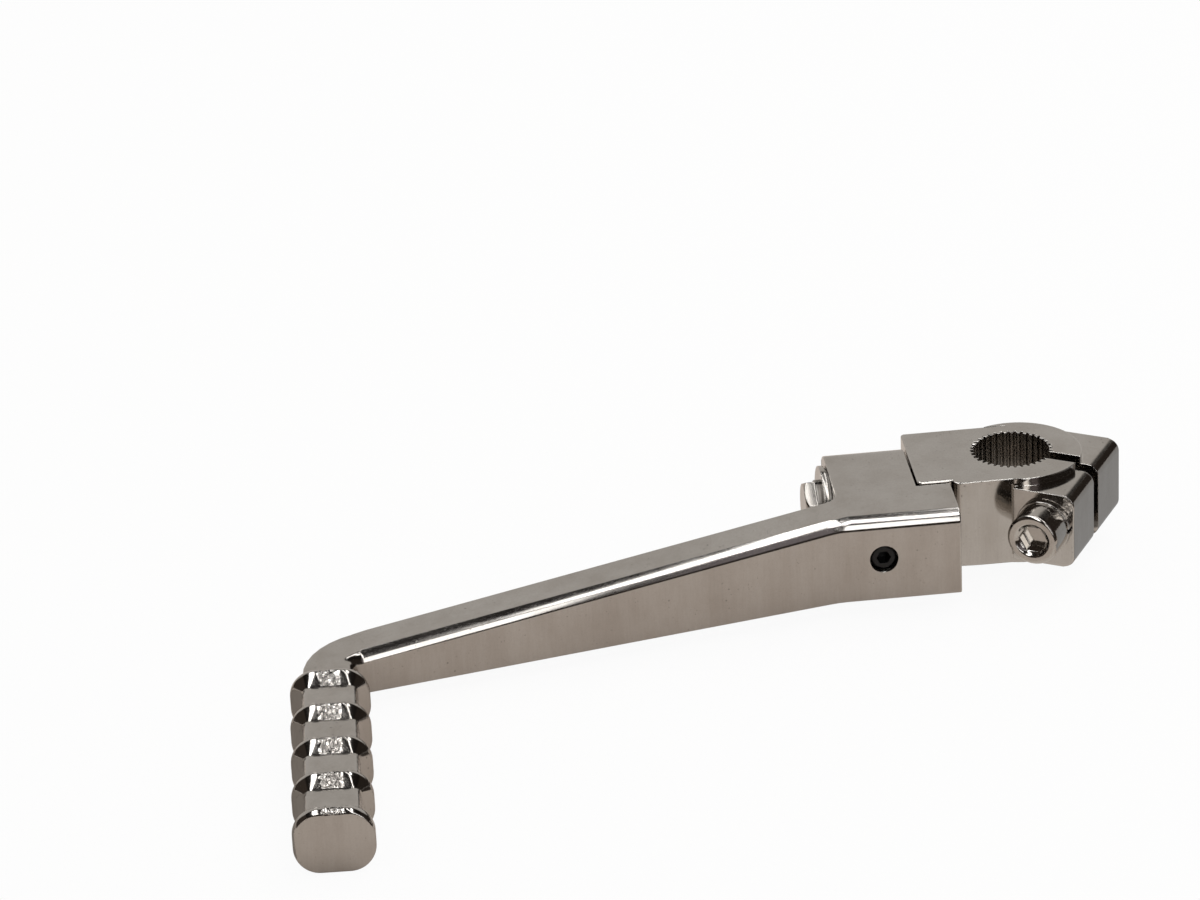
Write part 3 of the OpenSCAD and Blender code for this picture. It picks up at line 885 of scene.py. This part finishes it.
@dataclass
class KickLever:
    """All pieces of the lever, with the radius that each one's edges are rolled to."""

    hub_roll: float = 0.28 * MM
    hub_segments: int = 3
    arm_roll: float = 0.22 * MM
    screw_roll: float = 0.06 * MM
    hub_fittings: tuple[tuple[str, str, Slot, float], ...] = (
        ("pinch_bolt", "pinch_cap_screw", Slot.BOLT, 0.16 * MM),
        ("pinch_lock_washer", "pinch_washer", Slot.WASHER, 0.12 * MM),
        ("pivot_bolt", "pivot_hex_bolt", Slot.BOLT, 0.12 * MM),
        ("pivot_lock_washer", "pivot_spring_washer", Slot.DARK_WASHER, 0.08 * MM),
        ("pivot_washer", "pivot_plain_washer", Slot.WASHER, 0.15 * MM),
        ("thrust_washer", "thrust_ring", Slot.DARK_WASHER, 0.04 * MM),
    )

    def build(self) -> None:
        """Makes every piece and gives the ball, which stays a CAD node, its finish."""
        HubCasting("hub", "hub_casting", Slot.HUB, Body.KNUCKLE, self.hub_roll, self.hub_segments).build()
        LeverArm("lever_arm", "lever_casting", Slot.LEVER, Body.LEVER, self.arm_roll).build()
        FootPeg().build()
        for node, name, slot, roll in self.hub_fittings:
            CadCopy(node, name, slot, Body.KNUCKLE, roll).build()
        CadCopy("set_screw", "grub_screw", Slot.BLACK, Body.LEVER, self.screw_roll).build()
        DetentSpring("detent_spring", "detent_coil", Slot.SPRING, Body.LEVER).build()
        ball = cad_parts["detent_ball"]
        ball.data.materials.clear()
        ball.data.materials.append(FINISHES[Slot.BEARING].material())
        LOG.info("detent_ball: CAD node, finish %s", Slot.BEARING.value)


# ---- Studio ------------------------------------------------------------------------------------


@dataclass(frozen=True)
class Card:
    """A plain card or soft box that only mirrors see, given by its corners."""

    name: str
    light: float
    tint: Triple
    corners: tuple[Triple, ...]

    def build(self) -> bpy.types.Object:
        """Returns: the card."""
        material, graph = new_material(self.name)
        glow = graph.node("ShaderNodeEmission", None, {"Color": (*self.tint, 1.0), "Strength": self.light})
        graph.finish(graph.field(glow))
        mesh = bpy.data.meshes.new(self.name)
        mesh.from_pydata([Vector(c) for c in self.corners], [], [tuple(range(len(self.corners)))])
        mesh.materials.append(material)
        made = link(self.name, mesh)
        for ray in ("camera", "diffuse", "transmission", "volume_scatter", "shadow"):
            setattr(made, f"visible_{ray}", False)
        return made


def upright(x0: float, x1: float, y: float, z0: float, z1: float) -> tuple[Triple, ...]:
    """Args: x0, x1, y, z0, z1: extent. Returns: corners of a card that faces along Y."""
    return (x0, y, z0), (x1, y, z0), (x1, y, z1), (x0, y, z1)


def sideways(x: float, y0: float, y1: float, z0: float, z1: float) -> tuple[Triple, ...]:
    """Args: x, y0, y1, z0, z1: extent. Returns: corners of a card that faces along X."""
    return (x, y0, z0), (x, y1, z0), (x, y1, z1), (x, y0, z1)


def level(z: float, *corners: Pair) -> tuple[Triple, ...]:
    """Args: z: height; corners: X and Y of each. Returns: corners of a level card."""
    return tuple((x, y, z) for x, y in corners)


def level_box(z: float, x0: float, x1: float, y0: float, y1: float) -> tuple[Triple, ...]:
    """Args: z: height; x0, x1, y0, y1: extent. Returns: corners of a level rectangle."""
    return level(z, (x0, y0), (x1, y0), (x1, y1), (x0, y1))


@dataclass
class Studio:
    """Floor, world, lamp, cards and camera."""

    floor_z: float = -0.0124
    floor_size: float = 6.0
    floor_colour: Triple = (0.80, 0.785, 0.765)
    floor_mottle: Triple = (0.74, 0.72, 0.70)
    mottle_scale: float = 9.0
    mottle_share: float = 0.05
    mirrored_floor: Triple = (0.66, 0.59, 0.535)
    floor_clearness: float = 0.94
    daylight: float = 0.75
    lamp_size: Pair = (0.7, 0.5)
    lamp_energy: float = 2.2
    lamp_place: Triple = (0.35, 0.15, 0.8)
    lamp_aim: Triple = (-0.06, -0.03, 0.0)
    room: float = 1.3
    room_front: float = -1.35
    room_foot: float = -0.01
    ceiling_z: float = 1.28
    back_split: float = 0.94
    below_z: float = -0.5
    near_wall: float = -0.5
    box_z: float = 1.17
    box_light: float = 5.0
    card_lift: float = 0.0004
    camera_place: Triple = (-0.15946, -0.91137, 0.47145)
    camera_turn_deg: Triple = (5.0225, -26.2194, -2.6810)
    camera_lens: float = 156.5
    camera_sensor: float = 36.0
    camera_shift: Pair = (-0.00866, -0.01628)
    camera_clip: Pair = (0.01, 50.0)

    def floor(self) -> None:
        """A pale floor with the lever's shadow, mostly clear to the camera.

        The open lever hangs below the floor's level, so it has to show through.
        """
        material, graph = new_material("floor")
        mottle = graph.noise(self.mottle_scale, 2.0) * self.mottle_share
        shade = graph.mix_colour(mottle, self.floor_colour, self.floor_mottle)
        seen = graph.node("ShaderNodeLightPath")
        shade = graph.mix_colour(graph.field(seen, "Is Glossy Ray"), shade, self.mirrored_floor)
        plain = graph.node("ShaderNodeBsdfDiffuse", None, {"Color": shade})
        clear = graph.node("ShaderNodeBsdfTransparent")
        share = graph.field(seen, "Is Camera Ray") * self.floor_clearness
        inputs = {0: share, 1: graph.field(plain), 2: graph.field(clear)}
        graph.finish(graph.field(graph.node("ShaderNodeMixShader", None, inputs)))
        mesh = bpy.data.meshes.new("floor")
        half = self.floor_size / 2
        mesh.from_pydata(level_box(0.0, -half, half, -half, half), [], [(0, 1, 2, 3)])
        mesh.materials.append(material)
        made = link("floor", mesh)
        made.location = (0.0, 0.0, self.floor_z)

    def world(self) -> None:
        """A plain world: white to the camera and in mirrors, dimmer as light."""
        world = bpy.data.worlds.new("world")
        world.use_nodes = True
        bpy.context.scene.world = world
        graph = Graph(world.node_tree)
        seen = graph.node("ShaderNodeLightPath")
        clear = graph.field(seen, "Is Camera Ray") + graph.field(seen, "Is Glossy Ray")
        clear = (clear + graph.field(seen, "Is Transmission Ray")).clamped()
        strength = self.daylight + clear * (1.0 - self.daylight)
        back = graph.node("ShaderNodeBackground", None, {"Color": (*WHITE, 1.0), "Strength": strength})
        graph.finish(graph.field(back), "ShaderNodeOutputWorld")

    def lamp(self) -> None:
        """One large soft lamp for the shadow."""
        lamp = bpy.data.lights.new("key", "AREA")
        lamp.shape = "RECTANGLE"
        lamp.size, lamp.size_y = self.lamp_size
        lamp.energy = self.lamp_energy
        lamp.specular_factor = 0.0
        made = link("key", lamp)
        place = Vector(self.lamp_place)
        towards = (Vector(self.lamp_aim) - place).normalized()
        turn = towards.to_track_quat("-Z", "Y").to_matrix().to_4x4()
        made.matrix_world = Matrix.Translation(place) @ turn
        made.visible_glossy = False

    def room_cards(self) -> tuple[Card, ...]:
        """Returns: the dark room around the lever and what lies below the floor."""
        side, front, foot = self.room, self.room_front, self.room_foot
        deep = self.floor_size / 2
        return (
            Card("card_ceiling", 0.012, BROWN, level_box(self.ceiling_z, -side, side, front, side)),
            Card("card_back", 0.57, WARM, upright(-side, side, side, foot, self.back_split)),
            Card("card_back_top", 0.012, BROWN, upright(-side, side, side, self.back_split, side)),
            Card("card_right", 0.03, BROWN, sideways(side, front, side, 0.0, side)),
            Card("card_left", 0.05, BROWN, sideways(-side, front, side, 0.0, side)),
            Card("card_front", 0.03, BROWN, upright(-side, side, front, foot, side)),
            Card("card_below", 0.28, WARM, level_box(self.below_z, -deep, deep, -deep, deep)),
        )

    def soft_boxes(self) -> tuple[Card, ...]:
        """Returns: the bright boxes overhead and in front, which draw the lever's highlights."""
        foot, wall = self.room_foot, self.near_wall
        curved = level(
            self.box_z,
            (-0.015, 1.25), (-0.005, 0.7), (0.035, 0.15), (0.06, -0.1), (0.09, -0.35), (0.115, -0.58),
            (0.18, -0.85), (0.27, -1.12), (0.40, -1.34), (0.45, -1.34), (0.30, -0.85), (0.23, -0.55),
            (0.18, -0.33), (0.13, -0.15), (0.09, 0.04), (0.065, 0.24), (0.05, 0.5), (0.03, 0.8),
            (0.02, 1.25),
        )
        far = level(self.box_z, (0.175, -0.1), (0.3, -0.1), (0.36, 1.25), (0.23, 1.25))
        return (
            Card("front_grey", 0.22, (1.0, 0.9, 0.95), upright(0.11, 0.24, wall, foot, 0.62)),
            Card("box_front", 2.6, WHITE, upright(-0.01, 0.072, wall, foot, 0.40)),
            Card("box_right", self.box_light, WHITE, curved),
            Card("box_right_far", self.box_light, WHITE, far),
            Card("box_left", self.box_light, WHITE, level_box(self.box_z, -0.56, -0.25, -1.1, 1.25)),
        )

    def floor_cards(self) -> tuple[Card, ...]:
        """Returns: cards just above the floor, which the walls of the lever mirror."""
        near = self.floor_z + self.card_lift
        under_boss = level(
            near,
            (-0.0135, -0.0135), (-0.0125, -0.0225), (-0.0118, -0.0315), (-0.0085, -0.0535),
            (0.01, -0.0535), (0.01, -0.0135),
        )
        before_lever = level(
            near,
            (0.9, -1.3), (0.9, -0.055), (0.0, -0.062), (-0.1, -0.08), (-0.1, -0.15), (-0.9, -0.15),
            (-0.9, -1.3),
        )
        return (
            Card("bore_floor", 0.6, WARM, level_box(near, -0.0065, 0.0065, -0.0065, 0.0065)),
            Card("floor_front", 0.66, (1.0, 0.93, 0.86), under_boss),
            Card("floor_left", 0.30, (1.0, 0.91, 0.83), level_box(near, -0.5, -0.152, -0.105, -0.03)),
            Card("floor_right", 0.36, WHITE, level_box(near, 0.014, 0.9, -0.045, 0.9)),
            Card("floor_dark", 0.035, BROWN, before_lever),
        )

    def camera(self) -> None:
        """The camera at the photograph's angle and framing."""
        yaw, pitch, roll = (math.radians(a) for a in self.camera_turn_deg)
        ahead = Vector((math.sin(yaw) * math.cos(pitch), math.cos(yaw) * math.cos(pitch), math.sin(pitch)))
        flat = Vector((math.cos(yaw), -math.sin(yaw), 0.0))
        above = flat.cross(ahead)
        right = flat * math.cos(roll) + above * math.sin(roll)
        up = above * math.cos(roll) - flat * math.sin(roll)
        data = bpy.data.cameras.new("camera")
        data.sensor_fit = "HORIZONTAL"
        data.sensor_width = self.camera_sensor
        data.lens = self.camera_lens
        data.shift_x, data.shift_y = self.camera_shift
        data.clip_start, data.clip_end = self.camera_clip
        made = link("camera", data)
        turned = Matrix((right, up, -ahead)).transposed().to_4x4()
        made.matrix_world = Matrix.Translation(Vector(self.camera_place)) @ turned
        bpy.context.scene.camera = made

    def build(self) -> None:
        """Makes the whole studio."""
        self.floor()
        self.world()
        self.lamp()
        cards = self.room_cards() + self.soft_boxes() + self.floor_cards()
        for card in cards:
            card.build()
        self.camera()
        bpy.context.scene.view_settings.view_transform = "Standard"
        LOG.info("studio: floor, world, lamp, %d cards and camera", len(cards))


def main() -> None:
    """Builds the pieces and the studio."""
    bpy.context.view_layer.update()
    KickLever().build()
    Studio().build()
    bpy.context.view_layer.update()


if __name__ == "__main__":
    main()
